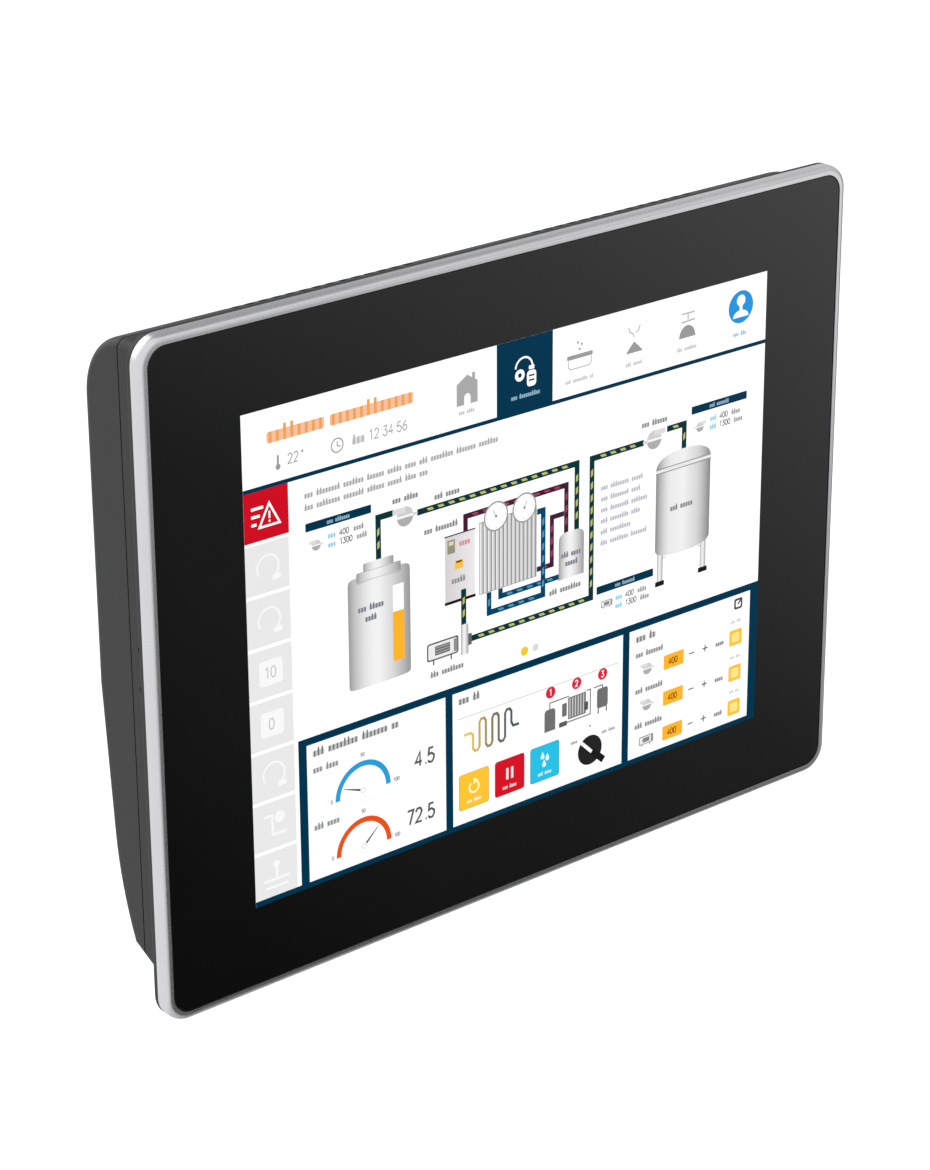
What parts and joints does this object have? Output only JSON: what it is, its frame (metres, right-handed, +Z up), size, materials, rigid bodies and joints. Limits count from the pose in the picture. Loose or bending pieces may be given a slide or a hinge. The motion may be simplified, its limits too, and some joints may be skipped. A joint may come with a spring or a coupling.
{
  "type": "operator touch panel",
  "caption": "Panel-mounting operator touch panel: thin silver bezel, black glass front with a lit 4:3 display, dark sealing flange and a charcoal housing with a connector bay below.",
  "frame": {"origin": "middle of the panel cut-out in the plane of the door's front face, where the flange seats", "axes": "+X to the right seen from the front, +Y into the cabinet (the mounting direction), +Z up"},
  "size_m": [0.2614, 0.0365, 0.2022],
  "materials": {
    "bezel_silver": "satin silver",
    "front_glass": "polished, black printed border",
    "sensor_glass": "polished",
    "display_glass": "lit display",
    "white_film": "matt",
    "clear_acrylic": "polished",
    "led_board": "matt",
    "black_foam": "matt",
    "black_rubber": "matt",
    "charcoal_case": "fine moulded grain",
    "sheet_steel": "zinc plated",
    "screw_steel": "nickel plated",
    "black_screw": "black oxide",
    "brass_parts": "turned",
    "circuit_board": "solder resist",
    "chip_metal": "etched",
    "chip_black": "moulded",
    "pad_grey": "matt",
    "heatsink_metal": "extruded",
    "can_metal": "drawn",
    "cell_steel": "polished",
    "connector_black": "moulded",
    "connector_green": "moulded",
    "port_metal": "tin plated",
    "lamp_green": "clear",
    "ribbon_cream": "matt",
    "ribbon_amber": "film",
    "switch_red": "moulded",
    "lever_white": "moulded",
    "card_black": "moulded",
    "plate_foil": "blank foil"
  },
  "bodies": {
    "housing": {"front_bezel": "bezel_silver", "cover_glass": "front_glass", "glass_tape": "black_foam", "touch_sensor": "sensor_glass", "display_foam": "black_foam", "lcd_bezel": "sheet_steel", "lcd_panel": "display_glass", "diffuser_sheet": "white_film", "light_guide": "clear_acrylic", "led_strip": "led_board", "lcd_tray": "sheet_steel", "lcd_screws": "screw_steel", "mid_frame": "charcoal_case", "panel_gasket": "black_rubber", "chassis_plate": "sheet_steel", "chassis_screws": "screw_steel", "board_standoffs": "brass_parts", "main_board": "circuit_board", "board_screws": "screw_steel", "processor": "chip_metal", "thermal_pad": "pad_grey", "heatsink": "heatsink_metal", "memory_chips": "chip_black", "power_coils": "chip_black", "capacitors": "can_metal", "cell_holder": "connector_black", "coin_cell": "cell_steel", "speaker": "connector_black", "ribbon_sockets": "ribbon_cream", "display_ribbon": "ribbon_cream", "touch_ribbon": "ribbon_amber", "lan_port_1": "port_metal", "lan_port_2": "port_metal", "lan_lamps": "lamp_green", "usb_port": "port_metal", "serial_port_a": "port_metal", "serial_port_b": "port_metal", "jack_nuts": "screw_steel", "power_socket": "connector_green", "sd_socket": "port_metal", "dip_switch": "switch_red", "reset_switch": "connector_black", "io_shield": "sheet_steel", "shield_screws": "screw_steel", "earth_screw": "screw_steel", "rear_cover": "charcoal_case", "cover_screws": "black_screw", "arm_inserts": "brass_parts", "rating_plate": "plate_foil"},
    "reset_button": {"reset_button": "lever_white"},
    "dip_lever_1": {"dip_lever_1": "lever_white"},
    "dip_lever_2": {"dip_lever_2": "lever_white"},
    "dip_lever_3": {"dip_lever_3": "lever_white"},
    "dip_lever_4": {"dip_lever_4": "lever_white"},
    "sd_card": {"sd_card": "card_black"},
    "power_plug": {"power_plug": "connector_green", "terminal_screws": "screw_steel"}
  },
  "joints": [
    {"name": "reset_press", "type": "slide", "parent": "housing", "child": "reset_button", "axis": [0, 0, 1], "range_m": [0, 0.0008], "stiffness_N_per_m": 1500, "springref_m": -0.0003},
    {"name": "dip_slide_1", "type": "slide", "parent": "housing", "child": "dip_lever_1", "axis": [0, 1, 0], "range_m": [0, 0.0018]},
    {"name": "dip_slide_2", "type": "slide", "parent": "housing", "child": "dip_lever_2", "axis": [0, 1, 0], "range_m": [0, 0.0018]},
    {"name": "dip_slide_3", "type": "slide", "parent": "housing", "child": "dip_lever_3", "axis": [0, 1, 0], "range_m": [0, 0.0018]},
    {"name": "dip_slide_4", "type": "slide", "parent": "housing", "child": "dip_lever_4", "axis": [0, 1, 0], "range_m": [0, 0.0018]},
    {"name": "card_slide", "type": "slide", "parent": "housing", "child": "sd_card", "axis": [0, 0, -1], "range_m": [0, 0.031]},
    {"name": "plug_pull", "type": "slide", "parent": "housing", "child": "power_plug", "axis": [0, 0, -1], "range_m": [0, 0.012]}
  ]
}
